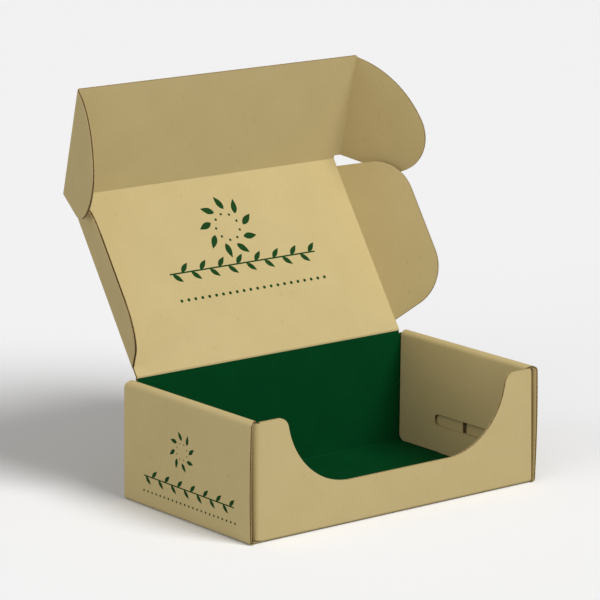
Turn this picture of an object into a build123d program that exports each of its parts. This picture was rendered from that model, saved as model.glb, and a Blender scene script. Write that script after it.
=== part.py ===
from build123d import *
import math
import os

# Roll end tuck top box in thin corrugated board, standing open with its lid leaning back.
# Origin: centre of the underside of the base. X runs along the long side, the front faces -Y.

# Board and creases
board = 1.6              # thickness of the corrugated board
bend_inside = 0.6        # inside radius of a fold
layer_gap = 0.1          # air between board layers that lie flat on each other
crease_gap = 0.2         # air between a rounded crease edge and the flap that turns on it
pocket_air = 0.4         # total air beside an ear in its corner pocket

# Tray
tray_length = 250.0      # over the two outer side panels
tray_depth = 136.5       # over the cut edges of the outer side panels
tray_height = 82.5       # top of the rolled side walls
front_height = 80.5      # top of the front wall's shoulders
front_recess = 2.6       # front wall set back behind the side panels' cut edges
corner_flap_height = 79.7
corner_flap_foot = 1.8   # lower edge of the corner flaps above the table
corner_flap_split = 2.0  # gap between the front and rear corner flap in one side wall
corner_flap_round = 8.0
side_panel_round = 3.5   # top rear corner of the outer side panel
inner_panel_round = 5.0  # lower corners of the inner side panel
wall_end_gap = 0.4       # rolled wall short of the front and rear walls
base_rub_gap = 0.2       # inner side panel above the base

# Display cut-out in the front wall
cutout_offset = 3.0      # its middle to the right of the tray's middle
cutout_floor = 30.0      # height of its straight lower edge
cutout_flat = 84.7       # length of its straight lower edge
cutout_bowl = 53.0       # radius of the hollow curve
cutout_lip = 8.3         # radius of the shoulder curve

# Slot and locking tab of the inner side panels
slot_length = 57.2
slot_width = 8.3
slot_height = 25.3       # centre of the slot above the table
tab_length = 47.0
tab_play = 0.3           # air round the tab in its base slot
tab_lift = 0.15          # tab end above the table

# Lid
lid_lean = 33.8          # lid leans back from upright
lid_width = 231.0        # between the side flap creases
lid_reach = 134.2        # from the tray crease to the tuck crease
lid_rest_gap = 0.3       # closed lid above the rolled walls

# Tuck flap and its ears
tuck_fold = 47.0         # fold between lid and tuck flap
tuck_width = 243.0       # between the ear creases
tuck_reach = 78.8        # from its crease to its free edge
ear_fold = 68.8
ear_reach = 77.4         # radius of its outer edge
ear_inset = 1.9          # centre of that edge, in from the ear crease on the tuck crease
ear_round = 28.0
ear_root = 2.6           # lower edge of an ear from the tuck crease
ear_fold_limit = 120.0

# Side flaps of the lid
side_flap_fold = 65.5
side_flap_reach = 48.9
side_flap_start = 6.8    # from the tray crease
side_flap_end = 128.0    # from the tray crease
side_flap_start_slant = 7.6
side_flap_end_slant = 19.0
side_flap_start_round = 30.0
side_flap_end_round = 33.0
side_fold_limit = 112.0

# Sizes that follow
half_length = tray_length / 2
half_depth = tray_depth / 2
bend_outside = bend_inside + board
pocket_width = board + pocket_air
outer_panel_inside = half_length - board
corner_flap_outside = outer_panel_inside - pocket_width
corner_flap_inside = corner_flap_outside - board
inner_panel_outside = corner_flap_inside - layer_gap
inner_panel_inside = inner_panel_outside - board
wall_half = corner_flap_outside - bend_outside
front_face = -half_depth + front_recess
front_inside = front_face + board
rear_inside = half_depth - board
hinge_y = half_depth - board / 2
hinge_z = tray_height + lid_rest_gap + board / 2
root_gap = board / 2 + crease_gap
past = 1.0               # how far a cut runs past the face that it opens
big = 4 * tray_length


def box_between(low, high):
    """Box from its lowest to its highest corner."""
    size = [high[i] - low[i] for i in range(3)]
    middle = [(high[i] + low[i]) / 2 for i in range(3)]
    return Pos(*middle) * Box(*size)


def rounded(sketch, points, radius):
    """Round the corners of a sketch that lie at the given points."""
    same = 0.01
    corners = [v for v in sketch.vertices() for p in points if (Vector(v) - Vector(*p)).length < same]
    return fillet(corners, radius)


def rolled_wall_section():
    """Section of the right side wall: outer panel, top strip and inner panel in one sheet."""
    x0, x1 = inner_panel_inside, half_length
    outer = Pos((x0 + x1) / 2, tray_height / 2) * Rectangle(x1 - x0, tray_height)
    outer = rounded(outer, [(x0, tray_height), (x1, tray_height), (x1, 0)], bend_outside)
    v0, v1 = inner_panel_outside, outer_panel_inside
    top = tray_height - board
    void = Pos((v0 + v1) / 2, (board + top) / 2) * Rectangle(v1 - v0, top - board)
    void = rounded(void, [(v0, top), (v1, top), (v1, board)], bend_inside)
    foot = Pos(x0, board + base_rub_gap / 2) * Rectangle(2 * board, base_rub_gap)
    return outer - void - foot


def side_panel_outline():
    """Outline of the outer side panel, seen from the side."""
    outline = Pos(0, tray_height / 2) * Rectangle(tray_depth, tray_height)
    return rounded(outline, [(half_depth, tray_height)], side_panel_round)


def rolled_wall_ends():
    """What is cut away from the ends of the strip and of the inner panel."""
    rear = rear_inside - wall_end_gap
    front = front_inside + wall_end_gap
    x0, x1 = inner_panel_inside - past, outer_panel_inside
    before = -half_depth - past
    behind = half_depth + past
    above = tray_height - bend_outside
    over = tray_height + past
    strip_rear = box_between((x0, rear, above), (x1, behind, over))
    panel_rear = box_between((x0, rear, board), (inner_panel_outside, behind, over))
    panel_front = box_between((x0, before, board), (inner_panel_outside, front, above))
    bevel = make_face(Polyline((x0, front), (x0, before), (x1 - bend_inside, before), close=True))
    strip_front = Pos(0, 0, above) * extrude(bevel, bend_outside + past)
    return strip_rear + panel_rear + panel_front + strip_front


def inner_panel_corner(end_y, inward):
    """What the rounded lower corner of the inner panel leaves out, at one end of the panel."""
    radius = inner_panel_round
    centre = Pos(end_y + inward * radius, board + base_rub_gap + radius)
    square = Pos(end_y + inward * radius / 2, board + base_rub_gap + radius / 2) * Rectangle(radius, radius)
    return square - centre * Circle(radius)


def inner_panel_cuts():
    """Rounded lower corners of the inner panel and its long slot."""
    cuts = Pos(0, slot_height) * SlotOverall(slot_length, slot_width)
    cuts += inner_panel_corner(front_inside + wall_end_gap, 1)
    cuts += inner_panel_corner(rear_inside - wall_end_gap, -1)
    through = board + past + layer_gap / 2
    return Pos(inner_panel_inside - past, 0, 0) * extrude(Plane.YZ * cuts, through)


def side_wall():
    """Right side wall: outer panel, rolled strip, slotted inner panel and its locking tab."""
    wall = extrude(Plane.XZ * rolled_wall_section(), half_depth, both=True)
    wall &= extrude(Plane.YZ * side_panel_outline(), big)
    wall -= rolled_wall_ends()
    wall -= inner_panel_cuts()
    half_tab = tab_length / 2
    base_slot = box_between((inner_panel_inside - tab_play, -half_tab - tab_play, -past),
                            (inner_panel_outside + tab_play, half_tab + tab_play, board))
    tab = box_between((inner_panel_inside, -half_tab, tab_lift),
                      (inner_panel_outside, half_tab, board + 2 * base_rub_gap))
    return wall - base_slot + tab


def base_slots():
    """Slots in the base for the two locking tabs."""
    half_tab = tab_length / 2
    middle = (inner_panel_inside + inner_panel_outside) / 2
    slot = Box(board + 2 * tab_play, 2 * (half_tab + tab_play), 4 * board)
    return Pos(middle, 0, 0) * slot + Pos(-middle, 0, 0) * slot


def trough():
    """Base with the front and rear walls turned up from it."""
    depth = half_depth - front_face
    centre = (half_depth + front_face) / 2
    outer = Pos(centre, hinge_z / 2) * Rectangle(depth, hinge_z)
    outer = rounded(outer, [(front_face, 0), (half_depth, 0)], bend_outside)
    void = Pos(centre, board + hinge_z / 2) * Rectangle(depth - 2 * board, hinge_z)
    void = rounded(void, [(front_inside, board), (rear_inside, board)], bend_inside)
    lower_front = Pos(front_face, front_height + hinge_z / 2) * Rectangle(4 * board, hinge_z)
    section = outer - void - lower_front
    sheet = extrude(Plane.YZ * section, wall_half, both=True)
    shoulder = box_between((lid_width / 2, rear_inside - past, front_height), (big, big, big))
    sheet -= shoulder
    sheet -= mirror(shoulder, Plane.YZ)
    return sheet + Pos(0, hinge_y, hinge_z) * Rot(0, 90, 0) * Cylinder(board / 2, lid_width)


def cutout():
    """Bowl-shaped display opening of the front wall, as a prism through it."""
    rise = front_height - cutout_floor
    turn = math.degrees(math.acos(1 - rise / (cutout_bowl + cutout_lip)))
    flat = Line((0, cutout_floor), (cutout_flat / 2, cutout_floor))
    bowl = JernArc(flat @ 1, (1, 0), cutout_bowl, turn)
    lip = JernArc(bowl @ 1, bowl % 1, cutout_lip, -turn)
    top = tray_height
    close = Polyline(lip @ 1, (wall_half, front_height), (wall_half, top), (0, top), flat @ 0)
    half = make_face(Curve() + [flat, bowl, lip, close])
    whole = half + mirror(half, Plane.YZ)
    return Pos(cutout_offset, front_inside + board, 0) * extrude(Plane.XZ * whole, 3 * board)


def corner_flap(wall_face, end_y):
    """Corner flap at +X, bent off a wall whose outer face is at wall_face and reaching to end_y."""
    inward = 1 if end_y > wall_face else -1
    centre_y = wall_face + inward * bend_outside
    ring = Pos(wall_half, centre_y) * (Circle(bend_outside) - Circle(bend_inside))
    corner = Pos(wall_half + bend_outside / 2, centre_y - inward * bend_outside / 2)
    ring &= corner * Rectangle(bend_outside, bend_outside)
    middle_x = corner_flap_outside - board / 2
    flap = Pos(middle_x, (centre_y + end_y) / 2) * Rectangle(board, abs(end_y - centre_y))
    sheet = Pos(0, 0, corner_flap_foot) * extrude(ring + flap, corner_flap_height - corner_flap_foot)
    free_edges = [e for e in sheet.edges().filter_by(Axis.X) if math.isclose(e.center().Y, end_y)]
    return fillet(free_edges, corner_flap_round)


def base_corner_relief():
    """Notches where the front and rear folds of the base meet the side folds."""
    x1, top = corner_flap_outside, board + past
    front = box_between((0, -half_depth - past, -past), (x1, front_face, top))
    pocket = box_between((wall_half, front_face, -past), (x1, front_face + bend_outside, top))
    rear = box_between((wall_half, half_depth - bend_outside, -past), (x1, half_depth + past, top))
    return front + pocket + rear


def tray():
    """Base, four walls and corner flaps, folded from one sheet."""
    side = side_wall()
    side += corner_flap(front_face, -corner_flap_split / 2)
    side += corner_flap(half_depth, corner_flap_split / 2)
    side -= base_corner_relief()
    body = trough() - base_slots() - cutout()
    return body + side + mirror(side, Plane.YZ)


def lid_place():
    """Place of the lid: x along its crease, y up the lid, z towards its inner face."""
    return Pos(0, hinge_y, hinge_z) * Rot(90 - lid_lean, 0, 0)


def tuck_place():
    """Place of the tuck flap: x along its crease, y into the flap, z towards its inner face."""
    return lid_place() * Pos(0, lid_reach, 0) * Rot(tuck_fold, 0, 0)


def bead(start, end):
    """Rounded board edge on a crease, between two points of the panel's plane."""
    line = Line(start, end)
    return sweep(Plane(origin=line @ 0, z_dir=line % 0) * Circle(board / 2), path=line)


def root_bevel(limit):
    """Wedge that clears the inner corner of a flap at +X when it folds up to its limit."""
    turn = math.radians(limit)
    clear = board / 2 + crease_gap / 2
    depth = (clear - board / 2 * math.cos(turn)) / math.sin(turn)
    corners = [(0, 0), (root_gap, 0), (depth, board / 2), (depth, board), (0, board)]
    return extrude(Plane.XZ * make_face(Polyline(*corners, close=True)), big, both=True)


def lid():
    """Lid panel with rounded edges where the tuck flap and the side flaps turn."""
    half = lid_width / 2
    panel = box_between((-half, root_gap, -board / 2), (half, lid_reach, board / 2))
    panel += bead((-half, lid_reach), (half, lid_reach))
    for x in (-half, half):
        panel += bead((x, side_flap_start), (x, side_flap_end))
    return lid_place() * panel


def tuck_flap():
    """Tuck flap, wider than the lid, with rounded ends where the ears turn."""
    half = tuck_width / 2
    panel = box_between((-half, ear_root, -board / 2), (half, tuck_reach, board / 2))
    panel += box_between((-lid_width / 2, root_gap, -board / 2), (lid_width / 2, ear_root, board / 2))
    for x in (-half, half):
        panel += bead((x, ear_root), (x, ear_reach))
    return tuck_place() * panel


def ear_outline():
    """Ear that turns into the corner pocket: a wide arc and a rounded corner."""
    middle = Vector(-ear_inset, 0)
    centre_y = ear_root + ear_round
    centre = middle + Vector(math.sqrt((ear_reach - ear_round) ** 2 - centre_y ** 2), centre_y)
    touch = middle + (centre - middle).normalized() * ear_reach
    outer_end = Vector(root_gap, math.sqrt(ear_reach ** 2 - (root_gap + ear_inset) ** 2))
    halfway = middle + (outer_end + touch - 2 * middle).normalized() * ear_reach
    arc = ThreePointArc(outer_end, halfway, touch)
    low = Vector(centre.X, ear_root)
    turn = centre + (touch + low - 2 * centre).normalized() * ear_round
    corner = ThreePointArc(touch, turn, low)
    edge = Polyline(low, (root_gap, ear_root), outer_end)
    return make_face(Curve() + [arc, corner, edge])


def ear():
    """Right ear of the tuck flap."""
    panel = Pos(0, 0, -board / 2) * extrude(ear_outline(), board)
    panel -= root_bevel(ear_fold_limit)
    return tuck_place() * Pos(tuck_width / 2, 0, 0) * Rot(0, -ear_fold, 0) * panel


def side_flap_outline():
    """Lid side flap: slanted ends with wide rounded corners."""
    reach = side_flap_reach
    start_slope = math.tan(math.radians(side_flap_start_slant))
    end_slope = math.tan(math.radians(side_flap_end_slant))
    near = (reach, side_flap_start + reach * start_slope)
    far = (reach, side_flap_end - reach * end_slope)
    near_root = (root_gap, side_flap_start + root_gap * start_slope)
    far_root = (root_gap, side_flap_end - root_gap * end_slope)
    outline = make_face(Polyline(near_root, near, far, far_root, close=True))
    outline = rounded(outline, [near], side_flap_start_round)
    return rounded(outline, [far], side_flap_end_round)


def side_flap():
    """Right side flap of the lid."""
    panel = Pos(0, 0, -board / 2) * extrude(side_flap_outline(), board)
    panel -= root_bevel(side_fold_limit)
    return lid_place() * Pos(lid_width / 2, 0, 0) * Rot(0, -side_flap_fold, 0) * panel


parts = {
    "tray": tray(),
    "lid": lid(),
    "tuck_flap": tuck_flap(),
    "ear_left": mirror(ear(), Plane.YZ),
    "ear_right": ear(),
    "side_flap_left": mirror(side_flap(), Plane.YZ),
    "side_flap_right": side_flap(),
}

os.makedirs("parts", exist_ok=True)
for name, solid in parts.items():
    export_step(solid, f"parts/{name}.step")
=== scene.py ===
import math

import bmesh
import bpy
from mathutils import Matrix, Vector


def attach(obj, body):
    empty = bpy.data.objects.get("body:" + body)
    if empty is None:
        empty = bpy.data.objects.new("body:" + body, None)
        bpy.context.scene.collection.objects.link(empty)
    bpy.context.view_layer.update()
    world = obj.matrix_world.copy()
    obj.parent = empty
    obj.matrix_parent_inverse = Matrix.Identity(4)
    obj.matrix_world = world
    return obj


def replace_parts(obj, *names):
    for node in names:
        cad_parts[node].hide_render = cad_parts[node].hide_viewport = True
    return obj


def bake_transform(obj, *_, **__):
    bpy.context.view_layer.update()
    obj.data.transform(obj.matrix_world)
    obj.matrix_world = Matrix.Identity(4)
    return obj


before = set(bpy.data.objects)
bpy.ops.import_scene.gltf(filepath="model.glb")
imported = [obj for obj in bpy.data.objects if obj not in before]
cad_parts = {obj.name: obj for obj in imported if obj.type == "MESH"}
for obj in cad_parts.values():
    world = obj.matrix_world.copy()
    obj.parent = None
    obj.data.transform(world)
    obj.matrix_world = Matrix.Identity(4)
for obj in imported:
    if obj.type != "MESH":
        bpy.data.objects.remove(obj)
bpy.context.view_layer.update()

# Sizes of the CAD model, in millimetres and degrees
BOARD = 1.6             # thickness
LENGTH, DEPTH, HEIGHT = 250.0, 136.5, 82.5
FRONT_TOP = 80.5        # upper edge of the front wall, and of the rear wall beside the lid
RECESS = 2.6            # of the front wall's top behind the side walls' front edges
FRONT_FACE = -DEPTH / 2 + RECESS
END_GAP = 0.4           # between an inner side panel and the front or rear wall
AIR = 0.2               # below a side wall's inner panel
TAB_HALF = 23.5         # half the length of the tab that locks an inner panel in the base
TAB_LIFT = 0.15         # of the tab's end above the floor
HINGE_Y, HINGE_Z = DEPTH / 2 - BOARD / 2, 83.6
LEAN = 33.8             # of the lid, back from the vertical
LID_HALF, LID_REACH = 115.5, 134.2
TUCK_FOLD, TUCK_HALF, TUCK_REACH = 47.0, 121.5, 78.8
EAR_FOLD, EAR_REACH, EAR_INSET, EAR_ROUND, EAR_ROOT = 68.8, 77.4, 1.9, 28.0, 2.6
SIDE_FOLD, SIDE_REACH, SIDE_START, SIDE_END = 65.5, 48.9, 6.8, 128.0

# Sizes of the visual model alone, whose folds are softer and looser
BEND = 1.4              # middle radius of the tray's folds
ARC = BEND * math.pi / 2
FOLD_IN = 2.2           # a fold's start, in from the outer face: the bend and half the board
REAR_FLAP = 120.6       # middle of the rear corner flaps' board
FRONT_FLAP = 121.9      # of the right front corner flap's
LOOSE_FRONT_FLAP = 119.1        # of the left one's, which is folded more softly
LOOSE_BEND = 3.6
PANEL_IN = 117.2        # inner face of the right side wall
LOOSE_PANEL_IN = 116.6  # of the left one, which is rolled more loosely
WALL_HALF = REAR_FLAP - BEND    # where the rear wall's folds to its corner flaps start
CORNER = 121.4          # end of the base at the corners
FOOT = 1.5              # height of the strip that closes the corners below the corner flaps
SPLIT = 3.0             # between two corner flaps
STEP = RECESS           # the front wall stands this much further out at its foot than at its top
STEP_NONE, STEP_FULL = -45, -60     # the y where that step begins, and where it is full
STEP_CUTS = [-60, -56, -52, -48, -44]   # mesh cuts in the side walls, where it begins
SIDE_PANELS = 123       # the x from which the outer side panels keep their place
ROLL_ENDS = -64         # and the y before which the rolls keep theirs
SLANT_NEAR, SLANT_FAR = math.tan(math.radians(7.4)), math.tan(math.radians(18.9))
TUCK_ROUND = 0.8        # corners of the tuck flap
LIFT = 0.4              # of the tray's lower edges, because the base rests on its middle
BULGE = 0.8             # of the outer side panels
CREASE = 1.0            # a crease strip's reach to each side of its hinge
FLAP_CREASE = 1.4       # the same at the ears and the side flaps, which fold further
CREASE_BEND = 1.2       # middle radius of a crease
INK_LOW, INK_HIGH = 0.012, 0.03     # the print's lower and upper side above the board

# Make-up of the board
LINER = 0.25
MEDIUM = 0.2
PITCH = 3.4             # of the flutes
COLUMNS = 8             # mesh columns per flute
FACE = BOARD / 2
WAVE = FACE - LINER - MEDIUM / 2

X, Y, Z = Vector((1, 0, 0)), Vector((0, 1, 0)), Vector((0, 0, 1))
MM = 0.001              # in metres
UV_UNIT = 100           # millimetres to one unit of the UV map
SHARP = math.radians(32)        # edges that turn less are shaded smooth


# Materials

def srgb(r, g, b):
    """Linear colour from 0-255 sRGB values."""
    def lin(c):
        c /= 255
        return c / 12.92 if c <= 0.04045 else ((c + 0.055) / 1.055) ** 2.4
    return (lin(r), lin(g), lin(b), 1.0)


class Nodes:
    """Short calls for wiring one material."""

    def __init__(self, name):
        self.material = bpy.data.materials.new(name)
        self.material.use_nodes = True
        self.tree = self.material.node_tree
        self.shader = self.tree.nodes["Principled BSDF"]
        self.uv = self.tree.nodes.new("ShaderNodeTexCoord").outputs["UV"]

    def link(self, value, socket):
        if hasattr(value, "links"):
            self.tree.links.new(value, socket)
        else:
            socket.default_value = value

    def scaled(self, y):
        """The UV map, stretched along the flutes where y is below 1."""
        node = self.tree.nodes.new("ShaderNodeMapping")
        node.inputs["Scale"].default_value = (1.0, y, 1.0)
        self.link(self.uv, node.inputs["Vector"])
        return node.outputs["Vector"]

    def noise(self, where, scale, detail, rough):
        node = self.tree.nodes.new("ShaderNodeTexNoise")
        self.link(where, node.inputs["Vector"])
        node.inputs["Scale"].default_value = scale
        node.inputs["Detail"].default_value = detail
        node.inputs["Roughness"].default_value = rough
        return node.outputs["Fac"]

    def math(self, kind, a, b=0.0):
        node = self.tree.nodes.new("ShaderNodeMath")
        node.operation = kind
        for value, socket in zip((a, b), node.inputs):
            self.link(value, socket)
        return node.outputs[0]

    def total(self, *parts):
        """Sum of (value, weight) pairs."""
        shares = [self.math("MULTIPLY", value, weight) for value, weight in parts]
        result = shares[0]
        for share in shares[1:]:
            result = self.math("ADD", result, share)
        return result

    def span(self, value, low, high, to_low=0.0, to_high=1.0):
        node = self.tree.nodes.new("ShaderNodeMapRange")
        for v, key in ((value, "Value"), (low, "From Min"), (high, "From Max"),
                       (to_low, "To Min"), (to_high, "To Max")):
            self.link(v, node.inputs[key])
        return node.outputs["Result"]

    def mix(self, factor, a, b):
        node = self.tree.nodes.new("ShaderNodeMix")
        node.data_type = "RGBA"
        self.link(factor, node.inputs["Factor"])
        self.link(a, node.inputs["A"])
        self.link(b, node.inputs["B"])
        return node.outputs["Result"]

    def bump(self, height, strength, distance):
        node = self.tree.nodes.new("ShaderNodeBump")
        node.inputs["Strength"].default_value = strength
        node.inputs["Distance"].default_value = distance
        self.link(height, node.inputs["Height"])
        self.link(node.outputs["Normal"], self.shader.inputs["Normal"])

    def flutes(self):
        """Faint ribs where the liner sinks between the flutes."""
        split = self.tree.nodes.new("ShaderNodeSeparateXYZ")
        self.link(self.uv, split.inputs[0])
        turns = self.math("MULTIPLY", split.outputs["X"], UV_UNIT / PITCH * 2 * math.pi)
        return self.math("SINE", turns)


def paper(name, colour, spread, fleck, roughness, specular, depth=1.0):
    """Liner: mottled about a colour, with fibres along the flutes and flecks; faint ribs in relief,
    with a little painted shade along them.
    """
    n = Nodes(name)
    dark = srgb(*[c - s for c, s in zip(colour, spread)])
    light = srgb(*[c + s for c, s in zip(colour, spread)])
    even = n.scaled(1.0)
    mottle = n.noise(even, 3.2, 5.0, 0.6)
    cloud = n.noise(even, 0.9, 2.0, 0.5)
    grain = n.noise(even, 210.0, 3.0, 0.6)
    fibre = n.noise(n.scaled(0.28), 95.0, 6.0, 0.7)
    sparse = n.noise(n.scaled(0.35), 46.0, 2.0, 0.5)
    rib_relief_and_shade = n.flutes()
    # The ribs' tiny share of the tone is painted shade along the flutes; their share of the bump
    # below is relief.
    tone = n.total((mottle, 0.42), (fibre, 0.34), (cloud, 0.24), (rib_relief_and_shade, 0.006))
    shade = n.mix(n.span(tone, 0.36, 0.66), dark, light)
    shade = n.mix(n.span(sparse, 0.69, 0.76, 0.0, 0.4 * depth), shade, srgb(*fleck))
    n.link(shade, n.shader.inputs["Base Color"])
    rough = n.span(grain, 0.3, 0.7, roughness - 0.06, roughness + 0.05)
    n.link(rough, n.shader.inputs["Roughness"])
    n.shader.inputs["Specular IOR Level"].default_value = specular
    n.bump(n.total((grain, 0.5), (fibre, 0.5), (rib_relief_and_shade, 0.10), (mottle, 0.5)), 0.35, 0.00012)
    n.material.diffuse_color = srgb(*colour)
    return n.material


SLOTS = [
    paper("kraft_inner_liner", (199, 180, 129), (4, 4, 4), (160, 134, 86), 0.86, 0.18),
    # The outer liner is set a few levels darker than the inner one: painted shade that dims the
    # front, the side walls and the other outer faces.
    paper("kraft_outer_liner_with_painted_shade", (195, 176, 126), (4, 4, 4), (154, 128, 82), 0.86, 0.18),
    paper("green_printed_liner", (0, 65, 29), (0, 4, 2), (4, 73, 35), 0.8, 0.05, 0.4),
    paper("cut_liner_edge", (188, 166, 118), (12, 12, 12), (134, 110, 70), 0.9, 0.15),
    paper("fluting_medium", (144, 120, 78), (12, 12, 12), (98, 76, 44), 0.9, 0.15),
    paper("green_ink", (24, 66, 26), (5, 5, 5), (70, 96, 48), 0.8, 0.1, 0.9),
]
INNER, OUTER, GREEN, CUT, FLUTING, INK = range(6)


# Outlines in the flat board

def arc(centre, radius, start, end):
    """Points on an arc between two angles in radians, about 1 mm apart."""
    steps = max(3, math.ceil(abs(end - start) * radius / 1.0))
    turns = [start + (end - start) * i / steps for i in range(steps + 1)]
    return [Vector((centre[0] + radius * math.cos(t), centre[1] + radius * math.sin(t)))
            for t in turns]


def rounded(*corners):
    """Closed outline through corners (u, v) or (u, v, radius)."""
    points = []
    for i, corner in enumerate(corners):
        here = Vector(corner[:2])
        if len(corner) == 2:
            points.append(here)
            continue
        radius = corner[2]
        before = (Vector(corners[i - 1][:2]) - here).normalized()
        after = (Vector(corners[(i + 1) % len(corners)][:2]) - here).normalized()
        half = before.angle(after) / 2
        centre = here + (before + after).normalized() * (radius / math.sin(half))
        a = here + before * (radius / math.tan(half)) - centre
        b = here + after * (radius / math.tan(half)) - centre
        start = math.atan2(a.y, a.x)
        turn = (math.atan2(b.y, b.x) - start + math.pi) % (2 * math.pi) - math.pi
        points += arc(centre, radius, start, start + turn)
    return points


def box(u0, v0, u1, v1):
    return rounded((u0, v0), (u1, v0), (u1, v1), (u0, v1))


# Places: from the flat board (u, v, w) to the folded box, w towards the inner face

def flat(origin, along, up):
    normal = along.cross(up)
    return lambda u, v, w: origin + along * u + up * v + normal * w


def track(origin, ahead, inner, side, moves):
    """Board that follows straight runs (length,) and folds (radius, angle in degrees) along u.

    A last straight run goes on beyond its length.
    """
    legs = []
    spot, heading, at = Vector((0, 0)), 0.0, 0.0

    def across(angle):
        return Vector((-math.sin(angle), math.cos(angle)))

    for move in moves:
        turn = math.radians(move[1]) if len(move) == 2 else 0.0
        length = abs(turn) * move[0] if turn else move[0]
        legs.append((at, length, spot.copy(), heading, turn, move[0]))
        if turn:
            sign = math.copysign(1, turn)
            centre = spot + across(heading) * move[0] * sign
            heading += turn
            spot = centre - across(heading) * move[0] * sign
        else:
            spot = spot + Vector((math.cos(heading), math.sin(heading))) * length
        at += length

    def place(u, v, w):
        leg = next((g for g in reversed(legs) if u >= g[0] - 1e-7), legs[0])
        start, length, spot, heading, turn, radius = leg
        if turn:
            sign = math.copysign(1, turn)
            centre = spot + across(heading) * radius * sign
            heading += turn * (u - start) / length
            point = centre - across(heading) * radius * sign
        else:
            point = spot + Vector((math.cos(heading), math.sin(heading))) * (u - start)
        point = point + across(heading) * w
        return origin + ahead * point.x + inner * point.y + side * v
    place.end = at
    place.cuts = [g[0] + g[1] * i / 6 for g in legs if g[4] for i in range(7)]
    return place


def swapped(place):
    """The same board with its run along v instead of u."""
    return lambda u, v, w: place(v, u, w)


def as_is(place):
    return place


def mirrored(place):
    """The same board on the other side of the box."""
    def other(u, v, w):
        point = place(u, v, w)
        return Vector((-point.x, point.y, point.z))
    return other


# Board

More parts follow.
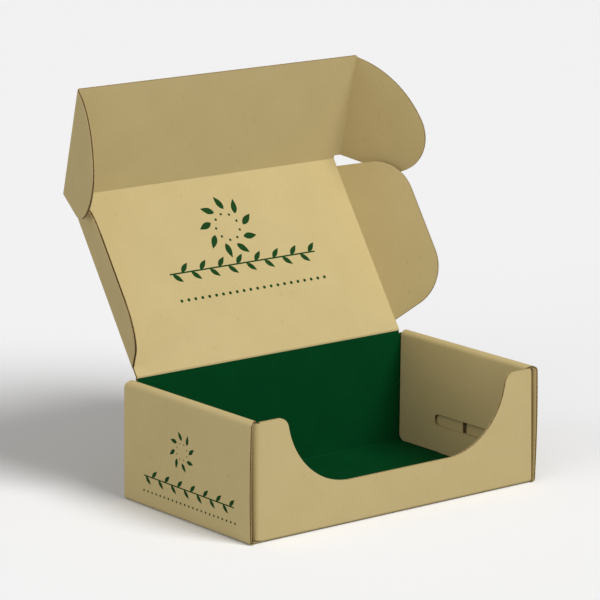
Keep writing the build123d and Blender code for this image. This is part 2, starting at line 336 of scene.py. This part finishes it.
class Sheet:
    """Mesh of one piece of folded board: two liners with the fluting between them."""

    def __init__(self):
        self.mesh = bmesh.new()
        self.uv = self.mesh.loops.layers.uv.new("board")

    def face(self, corners, slot):
        """One face from (vertex, u, v) corners."""
        try:
            face = self.mesh.faces.new([c[0] for c in corners])
        except ValueError:
            return
        face.material_index = slot
        face.smooth = True
        for loop, corner in zip(face.loops, corners):
            loop[self.uv].uv = (corner[1] / UV_UNIT, corner[2] / UV_UNIT)

    def layer(self, loops, place, w0, w1, slots, cuts_u=(), cuts_v=()):
        """A closed layer between two depths of the board, with materials (low, high, rim)."""
        plan = bmesh.new()
        for loop in loops:
            corners = [plan.verts.new((p[0], p[1], 0)) for p in loop]
            for a, b in zip(corners, corners[1:] + corners[:1]):
                plan.edges.new((a, b))
        bmesh.ops.triangle_fill(plan, use_beauty=True, use_dissolve=False, edges=plan.edges[:])
        for normal, cuts in ((X, cuts_u), (Y, cuts_v)):
            for cut_at in cuts:
                everything = plan.verts[:] + plan.edges[:] + plan.faces[:]
                bmesh.ops.bisect_plane(plan, geom=everything, dist=1e-5,
                                       plane_co=normal * cut_at, plane_no=normal)
        low = {v: self.mesh.verts.new(place(v.co.x, v.co.y, w0) * MM) for v in plan.verts}
        high = {v: self.mesh.verts.new(place(v.co.x, v.co.y, w1) * MM) for v in plan.verts}
        made = len(self.mesh.faces)
        for f in plan.faces:
            self.face([(low[v], v.co.x, v.co.y) for v in f.verts], slots[0])
            self.face([(high[v], v.co.x, v.co.y) for v in f.verts], slots[1])
        for e in plan.edges:
            if len(e.link_faces) == 1:
                a, b = e.verts
                self.face([(low[a], a.co.x, a.co.y), (low[b], b.co.x, b.co.y),
                           (high[b], b.co.x, b.co.y), (high[a], a.co.x, a.co.y)], slots[2])
        self.mesh.faces.ensure_lookup_table()
        bmesh.ops.recalc_face_normals(self.mesh, faces=self.mesh.faces[made:])
        plan.free()

    def crossings(self, loops, u):
        """Where the board lies along v at one u, as (low, high) pairs."""
        hits = []
        for loop in loops:
            for a, b in zip(loop, loop[1:] + loop[:1]):
                if (a[0] <= u) != (b[0] <= u):
                    hits.append(a[1] + (b[1] - a[1]) * (u - a[0]) / (b[0] - a[0]))
        hits.sort()
        return list(zip(hits[::2], hits[1::2]))

    def fluting(self, loops, place, cuts_v=()):
        """Wavy medium between the liners, its flutes along v."""
        inset = 0.12            # of the medium behind the liners' cut edges
        margin = 0.02           # keeps the first and last column inside the outline
        first = min(p[0] for p in loops[0]) + margin
        last = max(p[0] for p in loops[0]) - margin
        count = max(2, round((last - first) / PITCH * COLUMNS))
        before = None
        for i in range(count + 1):
            u = first + (last - first) * i / count
            wave = WAVE * math.sin(2 * math.pi * u / PITCH)
            column = []
            for low, high in self.crossings(loops, u):
                if high - low < 2.5 * inset:
                    continue
                low, high = low + inset, high - inset
                stops = [low] + [min(max(c, low), high) for c in sorted(cuts_v)] + [high]
                column.append([
                    [(self.mesh.verts.new(place(u, v, w) * MM), u, v) for v in stops]
                    for w in (wave - MEDIUM / 2, wave + MEDIUM / 2)])
            if before and len(before) == len(column):
                for rows in zip(before, column):
                    self.flute_faces(*rows)
            before = column

    def flute_faces(self, rows_a, rows_b):
        """Faces between two neighbouring columns of the medium."""
        for row_a, row_b in zip(rows_a, rows_b):
            for j in range(len(row_a) - 1):
                if all(row[j + 1][2] - row[j][2] < 1e-4 for row in (row_a, row_b)):
                    continue
                self.face([row_a[j], row_b[j], row_b[j + 1], row_a[j + 1]], FLUTING)
        (a0, a1), (b0, b1) = rows_a, rows_b
        self.face([a0[0], a1[0], b1[0], b0[0]], FLUTING)
        self.face([a0[-1], b0[-1], b1[-1], a1[-1]], FLUTING)

    def board(self, loops, place, inside=INNER, cuts_u=(), cuts_v=(), fluted=True):
        """Two liners, and the fluting unless it is left out."""
        self.layer(loops, place, -FACE, -FACE + LINER, (OUTER, CUT, CUT), cuts_u, cuts_v)
        self.layer(loops, place, FACE - LINER, FACE, (CUT, inside, CUT), cuts_u, cuts_v)
        if fluted:
            self.fluting(loops, place, cuts_v)

    def piece(self, name):
        """The finished object."""
        data = bpy.data.meshes.new(name)
        self.mesh.to_mesh(data)
        self.mesh.free()
        for material in SLOTS:
            data.materials.append(material)
        data.set_sharp_from_angle(angle=SHARP)
        piece = bpy.data.objects.new(name, data)
        bpy.context.scene.collection.objects.link(piece)
        return piece


# The tray

def smooth(t):
    """Soft step from 0 to 1."""
    t = min(max(t, 0.0), 1.0)
    return t * t * (3 - 2 * t)


def front_outline():
    """Front wall with its bowl-shaped cut-out; v is the height, the fold to the base below it."""
    floor, half_flat, bowl, lip, offset = 30.0, 42.35, 53.0, 8.3, Vector((3.0, 0))
    turn = math.acos(1 - (FRONT_TOP - floor) / (bowl + lip))
    right = arc((half_flat, floor + bowl), bowl, -math.pi / 2, -math.pi / 2 + turn)
    centre = (half_flat + (bowl + lip) * math.sin(turn), FRONT_TOP - lip)
    right += arc(centre, lip, math.pi / 2 + turn, math.pi / 2)[1:]
    left = [Vector((-p.x, p.y)) for p in reversed(right)]
    opening = [p + offset for p in right[::-1] + left[::-1]]
    left_end, right_end = LOOSE_BEND - LOOSE_FRONT_FLAP, FRONT_FLAP - BEND
    foot = [(left_end, FOOT), (-CORNER, FOOT), (-CORNER, 0), (CORNER, 0), (CORNER, FOOT),
            (right_end, FOOT), (right_end, FRONT_TOP)]
    return rounded(*foot) + opening + [Vector((left_end, FRONT_TOP))]


def lifted(outline):
    """Heights above the fold measured along the board, which is as long as it is high there."""
    return [Vector((p[0], p[1] + ARC - FOLD_IN if p[1] > FOLD_IN else p[1])) for p in outline]


def leaned(place, limit=-LENGTH):
    """Brings the foot of the front wall forward, with what touches it.

    The outer side panels stay, and so do points with a y below the limit.
    """
    def other(u, v, w):
        point = place(u, v, w)
        if abs(point.x) < SIDE_PANELS and point.y >= limit:
            share = smooth((STEP_NONE - point.y) / (STEP_NONE - STEP_FULL))
            point.y -= STEP * share * (1 - point.z / FRONT_TOP)
        return point
    return other


def tray_base(sheet):
    """Base, with slots for the tabs and strips that go on below the corner flaps."""
    room = 0.3                  # around a tab in its slot
    x0, x1 = LENGTH / 2 - FOLD_IN, CORNER
    y0, y1, end = FRONT_FACE + FOLD_IN, DEPTH / 2 - FOLD_IN, DEPTH / 2
    outline = rounded((-x0, -end), (-x1, -end), (-x1, y0), (x1, y0), (x1, -end), (x0, -end),
                      (x0, end), (x1, end), (x1, y1), (-x1, y1), (-x1, end), (-x0, end))
    half, reach = BOARD / 2 + room, TAB_HALF + room
    holes = [box(x - half, -reach, x + half, reach)
             for x in (PANEL_IN + BOARD / 2, -LOOSE_PANEL_IN - BOARD / 2)]
    place = leaned(flat(Vector((0, 0, BOARD / 2)), X, Y), y0 - 0.01)
    lifts = range(4, 24, 4)     # mesh cuts inside the edges, where these lift
    cuts_u = [side * (LENGTH / 2 - c) for side in (1, -1) for c in lifts]
    cuts_v = [side * (DEPTH / 2 - c) for side in (1, -1) for c in lifts]
    sheet.board([outline] + holes, place, inside=GREEN, cuts_u=cuts_u, cuts_v=cuts_v)


def tray_walls(sheet):
    """Front and rear wall, each with its fold to the base."""
    fold_up = [(BEND, 90), (HEIGHT,)]
    rise = track(Vector((0, FRONT_FACE + FOLD_IN, BOARD / 2)), -Y, Z, X, fold_up)
    sheet.board([lifted(front_outline())], leaned(swapped(rise)), inside=GREEN, cuts_v=rise.cuts)
    top = HINGE_Z - CREASE
    rear = [(-CORNER, 0), (CORNER, 0), (CORNER, FOOT), (WALL_HALF, FOOT), (WALL_HALF, FRONT_TOP),
            (LID_HALF, FRONT_TOP), (LID_HALF, top), (-LID_HALF, top), (-LID_HALF, FRONT_TOP),
            (-WALL_HALF, FRONT_TOP), (-WALL_HALF, FOOT), (-CORNER, FOOT)]
    rise = track(Vector((0, DEPTH / 2 - FOLD_IN, BOARD / 2)), Y, Z, X, fold_up)
    sheet.board([lifted(rear)], swapped(rise), inside=GREEN, cuts_v=rise.cuts)


def bulge(t, y):
    """How far an outer side panel bulges at a share t of its height; most at the front."""
    return BULGE * math.sin(math.pi * min(max(t, 0), 1)) * (0.6 - 0.4 * y / (DEPTH / 2))


def side_roll(sheet, turned, panel_in):
    """Outer panel, roll and slotted inner panel of a side wall."""
    slot_height, slot_half, slot_reach, slot_round = 25.3, 4.15, 28.6, 4.1
    outer_round, inner_round, tab_round = 2.5, 5.0, 1.0
    past_top, before_in, slope = 2.2, 1.0, 1.2      # where the roll's ends run in to the walls
    roll = (LENGTH / 2 - panel_in - BOARD) / 2      # its middle radius
    up = HEIGHT - FOLD_IN - roll - BOARD / 2
    down = HEIGHT - roll - BOARD / 2 - BOARD - AIR
    run = track(Vector((LENGTH / 2 - FOLD_IN, 0, BOARD / 2)), X, Z, Y,
                [(BEND, 90), (up,), (roll, 180), (down,)])
    s_top = ARC + up                                # start of the roll
    s_in = s_top + roll * math.pi                   # its end
    s_end = s_in + down                             # lower edge of the inner panel
    floor = s_end + BOARD + AIR
    tab_end = floor - TAB_LIFT
    front, rear, half = FRONT_FACE + BOARD + END_GAP, DEPTH / 2 - BOARD - END_GAP, DEPTH / 2

    def bowed(u, v, w):
        point = run(u, v, w)
        if ARC < u < s_top:
            point.x += bulge((u - ARC) / (s_top - ARC), v)
        return point

    # The roll narrows from the outer panel's width to the inner panel's.
    outline = rounded((0, -half), (s_top + past_top, -half), (s_in - before_in, front),
                      (s_end, front, inner_round), (s_end, -TAB_HALF),
                      (tab_end, -TAB_HALF, tab_round), (tab_end, TAB_HALF, tab_round),
                      (s_end, TAB_HALF), (s_end, rear, inner_round),
                      (s_top + past_top + slope, rear), (s_top + past_top, rear + slope),
                      (s_top, half, outer_round), (0, half))
    low, high = floor - slot_height - slot_half, floor - slot_height + slot_half
    slot = rounded((low, -slot_reach, slot_round), (high, -slot_reach, slot_round),
                   (high, slot_reach, slot_round), (low, slot_reach, slot_round))
    cuts_up = [ARC + up * i / 10 for i in range(1, 10)]
    cuts_roll = [s_top + (s_in - s_top) * i / 12 for i in range(1, 12)]
    sheet.board([outline, slot], leaned(turned(bowed), ROLL_ENDS),
                cuts_u=run.cuts + cuts_up + cuts_roll, cuts_v=STEP_CUTS)


def corner_flap(sheet, turned, wall_y, inward, flap_in, bend):
    """Flap folded from the front or rear wall into a side wall."""
    foot, top, corner = 1.8, 79.7, 8.0
    cuts = [4, 8, 12, 16, 20]           # along the stretch that the front wall's step bends
    run = track(Vector((flap_in - bend, wall_y + inward * BOARD / 2, 0)), X, Y * inward, Z,
                [(bend, 90), (DEPTH,)])
    reach = bend * math.pi / 2 + abs(wall_y) - BOARD / 2 - bend - SPLIT / 2
    outline = rounded((0, foot), (reach, foot, corner), (reach, top, corner), (0, top))
    sheet.board([outline], leaned(turned(run)), cuts_u=run.cuts + cuts)


def lift_edges(sheet):
    """Lower edges a little off the floor."""
    start, rise, fade = 20, 16, 12      # inside the edges, out from there, and up the walls
    for vert in sheet.mesh.verts:
        x, y, z = vert.co / MM
        out = max(abs(x) - LENGTH / 2, abs(y) - DEPTH / 2) + start
        vert.co.z += MM * LIFT * smooth(out / rise) * smooth(1 - z / fade)


tray = Sheet()
tray_base(tray)
tray_walls(tray)
side_roll(tray, as_is, PANEL_IN)
side_roll(tray, mirrored, LOOSE_PANEL_IN)
corner_flap(tray, as_is, FRONT_FACE, 1, FRONT_FLAP, BEND)
corner_flap(tray, mirrored, FRONT_FACE, 1, LOOSE_FRONT_FLAP, LOOSE_BEND)
corner_flap(tray, as_is, DEPTH / 2, -1, REAR_FLAP, BEND)
corner_flap(tray, mirrored, DEPTH / 2, -1, REAR_FLAP, BEND)
lift_edges(tray)
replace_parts(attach(tray.piece("tray_board"), "tray"), "tray")


# The lid and its flaps

lean = math.radians(LEAN)
hinge = Vector((0, HINGE_Y, HINGE_Z))
lid_up = Vector((0, math.sin(lean), math.cos(lean)))
lid_in = X.cross(lid_up)
tuck_at = hinge + lid_up * LID_REACH
tuck_up = Matrix.Rotation(math.radians(TUCK_FOLD), 3, "X") @ lid_up
tuck_in = X.cross(tuck_up)


def turned_out(inner, angle):
    """Direction of a flap folded up by an angle from the +X side of a panel."""
    angle = math.radians(angle)
    return X * math.cos(angle) + inner * math.sin(angle)


def symmetric(*corners):
    """Closed outline from its right half, which runs up from the lower edge."""
    other = [(-c[0], *c[1:]) for c in corners]
    return rounded(other[0], *corners, *reversed(other[1:]))


def ear_outline():
    """Arc about the tuck crease and a rounded lower corner."""
    v = EAR_ROOT + EAR_ROUND
    reach = math.sqrt((EAR_REACH - EAR_ROUND) ** 2 - v ** 2)
    touch = math.atan2(v, reach)
    start = math.acos((FLAP_CREASE + EAR_INSET) / EAR_REACH)
    points = arc((reach - EAR_INSET, v), EAR_ROUND, -math.pi / 2, touch)
    points += arc((-EAR_INSET, 0), EAR_REACH, touch, start)[1:]
    return points + [Vector((FLAP_CREASE, EAR_ROOT))]


def side_outline():
    """Side flap, its ends slanted and its outer corners rounded."""
    near_round, far_round = 30.0, 33.0
    return rounded((FLAP_CREASE, SIDE_START + FLAP_CREASE * SLANT_NEAR),
                   (SIDE_REACH, SIDE_START + SIDE_REACH * SLANT_NEAR, near_round),
                   (SIDE_REACH, SIDE_END - SIDE_REACH * SLANT_FAR, far_round),
                   (FLAP_CREASE, SIDE_END - FLAP_CREASE * SLANT_FAR))


def crease(name, bodies, loops, place, turned, mid_v):
    """Strip of board bent across its hinge; mid_v is a place along the hinge."""
    end = place.end
    place = turned(place)
    strip = Sheet()
    strip.board(loops, place, cuts_u=[end * i / 14 for i in range(1, 14)], fluted=False)
    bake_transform(strip.piece(name), *bodies,
             start=place(0, mid_v, 0) * MM, end=place(end, mid_v, 0) * MM)


def crease_run(origin, ahead, inner, side, angle, reach=CREASE):
    """Track of a crease strip, with an equal reach before and after the hinge."""
    leg = reach - CREASE_BEND * math.tan(math.radians(abs(angle)) / 2)
    return track(origin - ahead * reach, ahead, inner, side, [(leg,), (CREASE_BEND, angle), (leg,)])


lid = Sheet()
side_root = LID_HALF - FLAP_CREASE
lid_outline = symmetric((LID_HALF, CREASE), (LID_HALF, SIDE_START), (side_root, SIDE_START),
                        (side_root, SIDE_END), (LID_HALF, SIDE_END),
                        (LID_HALF, LID_REACH - CREASE))
lid.board([lid_outline], flat(hinge, X, lid_up))
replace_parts(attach(lid.piece("lid_board"), "lid"), "lid")

tuck = Sheet()
ear_root = TUCK_HALF - FLAP_CREASE
tuck_outline = symmetric((LID_HALF, CREASE), (LID_HALF, EAR_ROOT), (ear_root, EAR_ROOT),
                         (ear_root, EAR_REACH), (TUCK_HALF, EAR_REACH),
                         (TUCK_HALF, TUCK_REACH, TUCK_ROUND))
tuck.board([tuck_outline], flat(tuck_at, X, tuck_up))
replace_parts(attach(tuck.piece("tuck_board"), "tuck"), "tuck_flap")

for word, turned in (("right", as_is), ("left", mirrored)):
    ear_hinge, side_hinge = tuck_at + X * TUCK_HALF, hinge + X * LID_HALF
    ear = Sheet()
    out = turned_out(tuck_in, EAR_FOLD)
    ear.board([ear_outline()], turned(flat(ear_hinge, out, tuck_up)))
    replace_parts(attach(ear.piece(f"ear_{word}_board"), f"ear_{word}"), f"ear_{word}")
    flap = Sheet()
    out = turned_out(lid_in, SIDE_FOLD)
    flap.board([side_outline()], turned(flat(side_hinge, out, lid_up)))
    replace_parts(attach(flap.piece(f"side_flap_{word}_board"), f"side_{word}"),
                f"side_flap_{word}")
    run = crease_run(ear_hinge, X, tuck_in, tuck_up, EAR_FOLD, FLAP_CREASE)
    crease(f"ear_{word}_crease", ("tuck", f"ear_{word}"),
           [box(0, EAR_ROOT, run.end, EAR_REACH)], run, turned, 40)
    run = crease_run(side_hinge, X, lid_in, lid_up, SIDE_FOLD, FLAP_CREASE)
    ends = rounded((0, SIDE_START), (run.end, SIDE_START + FLAP_CREASE * SLANT_NEAR),
                   (run.end, SIDE_END - FLAP_CREASE * SLANT_FAR), (0, SIDE_END))
    crease(f"side_flap_{word}_crease", ("lid", f"side_{word}"), [ends], run, turned, 60)

run = crease_run(tuck_at, lid_up, lid_in, X, TUCK_FOLD)
crease("tuck_crease", ("lid", "tuck"), [box(0, -LID_HALF, run.end, LID_HALF)], run, as_is, 0)
run = crease_run(hinge, Z, -Y, X, -LEAN)
crease("lid_crease", ("tray", "lid"), [box(0, -LID_HALF, run.end, LID_HALF)], run, as_is, 0)


# Print

def leaf(u, v, angle, length, width):
    """Pointed leaf from its stem end."""
    angle = math.radians(angle)
    along = Vector((math.cos(angle), math.sin(angle)))
    across = Vector((-along.y, along.x))
    steps = [i / 8 for i in range(9)]
    sides = [[Vector((u, v)) + along * length * t
              + across * sign * width / 2 * math.sin(math.pi * t ** 0.8) for t in steps]
             for sign in (1, -1)]
    return sides[0] + sides[1][-2:0:-1]


def dot(u, v, radius):
    return arc((u, v), radius, 0, 2 * math.pi)[:-1]


def leaf_ring(u, v, radius, count, length):
    """Ring of leaves with seeds between them."""
    shapes = []
    for i in range(count):
        turn = 360 * i / count
        t = math.radians(turn)
        shapes.append(leaf(u + radius * math.cos(t), v + radius * math.sin(t), turn + 38,
                           length, length * 0.42))
        t += math.pi / count
        inner = radius * 0.74
        shapes.append(dot(u + inner * math.cos(t), v + inner * math.sin(t), length * 0.09))
    return shapes


def vine(u0, u1, v, step, length, stem):
    """Stem with leaves in turn above and below it."""
    shapes = [box(u0, v - stem / 2, u1, v + stem / 2)]
    for i in range(int((u1 - u0) / step)):
        up = 1 if i % 2 else -1
        shapes.append(leaf(u0 + step * (i + 0.3), v + up * stem * 0.4, up * 42,
                           length, length * 0.4))
    return shapes


def dots(u0, u1, v, step, radius):
    """Row of dots."""
    return [dot(u0 + step * i, v, radius) for i in range(int((u1 - u0) / step) + 1)]


def print_on(name, shapes, place, body):
    """Ink lying on a face of the board, cut into bands that follow the board's bulge."""
    sheet = Sheet()
    bands = [i * 4.0 for i in range(40)]
    for shape in shapes:
        sheet.layer([shape], place, INK_LOW, INK_HIGH, (INK, INK, INK), cuts_v=bands)
    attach(sheet.piece(name), body)


def left_face(u, v, w):
    """Outer face of the left side panel; u runs to the front, v is the height."""
    out = bulge((v - FOLD_IN) / (HEIGHT - 2 * FOLD_IN), -u)
    return Vector((-LENGTH / 2 - out - w, -u, v))


lid_print = leaf_ring(2, 95, 13.5, 9, 11.5)
lid_print += vine(-60, 68, 67, 8.0, 9.5, 1.1) + dots(-58, 68, 47, 6.0, 1.25)
print_on("lid_print", lid_print, flat(hinge + lid_in * FACE, X, lid_up), "lid")
left_print = leaf_ring(-4, 47, 7.6, 8, 7.0)
left_print += vine(-46, 52, 22, 7.0, 7.5, 0.9) + dots(-46, 53, 11.5, 4.5, 0.9)
print_on("left_print", left_print, left_face, "tray")


# Camera at the photograph's viewpoint

EYE = (-1.49746, -1.80229, 0.6764)
FOCAL_PIXELS, PHOTO_PIXELS, SENSOR = 3574.24, 600, 36
yaw, pitch, roll = math.radians(39.16), math.radians(13.06), math.radians(0.55)
forward = Vector((math.sin(yaw) * math.cos(pitch), math.cos(yaw) * math.cos(pitch),
                  -math.sin(pitch)))
level = Vector((math.cos(yaw), -math.sin(yaw), 0))
right = level * math.cos(roll) + level.cross(forward) * math.sin(roll)
upward = right.cross(forward)
camera_data = bpy.data.cameras.new("camera")
camera = bpy.data.objects.new("camera", camera_data)
bpy.context.scene.collection.objects.link(camera)
axes = Matrix((right, upward, -forward)).transposed().to_4x4()
camera.matrix_world = Matrix.Translation(EYE) @ axes
camera_data.lens = FOCAL_PIXELS / PHOTO_PIXELS * SENSOR
camera_data.sensor_width = SENSOR
camera_data.clip_start = 0.05
camera_data.clip_end = 50
bpy.context.scene.camera = camera


# Floor and light

FLOOR_HALF = 20
corners = [(-FLOOR_HALF, -FLOOR_HALF, 0), (FLOOR_HALF, -FLOOR_HALF, 0),
           (FLOOR_HALF, FLOOR_HALF, 0), (-FLOOR_HALF, FLOOR_HALF, 0)]
floor_mesh = bpy.data.meshes.new("floor")
floor_mesh.from_pydata(corners, [], [(0, 1, 2, 3)])
floor = bpy.data.objects.new("floor", floor_mesh)
bpy.context.scene.collection.objects.link(floor)
ground = bpy.data.materials.new("floor")
ground.use_nodes = True
tree = ground.node_tree
diffuse = tree.nodes["Principled BSDF"]
# The camera sees a paler floor than the one that throws light back onto the box.
path = tree.nodes.new("ShaderNodeLightPath")
shown = tree.nodes.new("ShaderNodeMix")
shown.data_type = "RGBA"
shown.inputs["A"].default_value = srgb(188, 188, 188)
shown.inputs["B"].default_value = srgb(254, 254, 255)
tree.links.new(path.outputs["Is Camera Ray"], shown.inputs["Factor"])
tree.links.new(shown.outputs["Result"], diffuse.inputs["Base Color"])
diffuse.inputs["Roughness"].default_value = 0.9
diffuse.inputs["Specular IOR Level"].default_value = 0.1
floor_mesh.materials.append(ground)


def sun(name, direction, strength, angle):
    """Sun lamp that shines along a direction."""
    data = bpy.data.lights.new(name, "SUN")
    data.energy = strength
    data.angle = angle
    lamp = bpy.data.objects.new(name, data)
    bpy.context.scene.collection.objects.link(lamp)
    lamp.rotation_mode = "QUATERNION"
    lamp.rotation_quaternion = Vector(direction).to_track_quat("-Z", "Y")


sun("key", (-0.18, 0.671, -0.719), 2.34, 0.52)
sun("left_fill", (2.75, 0.05, -0.5), 1.1, 0.8)
sun("left_soft", (1.8, 1.2, -1.48), 0.32, 0.6)
world = bpy.data.worlds.new("world")
world.use_nodes = True
sky = world.node_tree.nodes["Background"]
sky.inputs["Color"].default_value = (1.0, 0.995, 0.98, 1)
sky.inputs["Strength"].default_value = 0.245
bpy.context.scene.world = world
bpy.context.scene.view_settings.view_transform = "Standard"
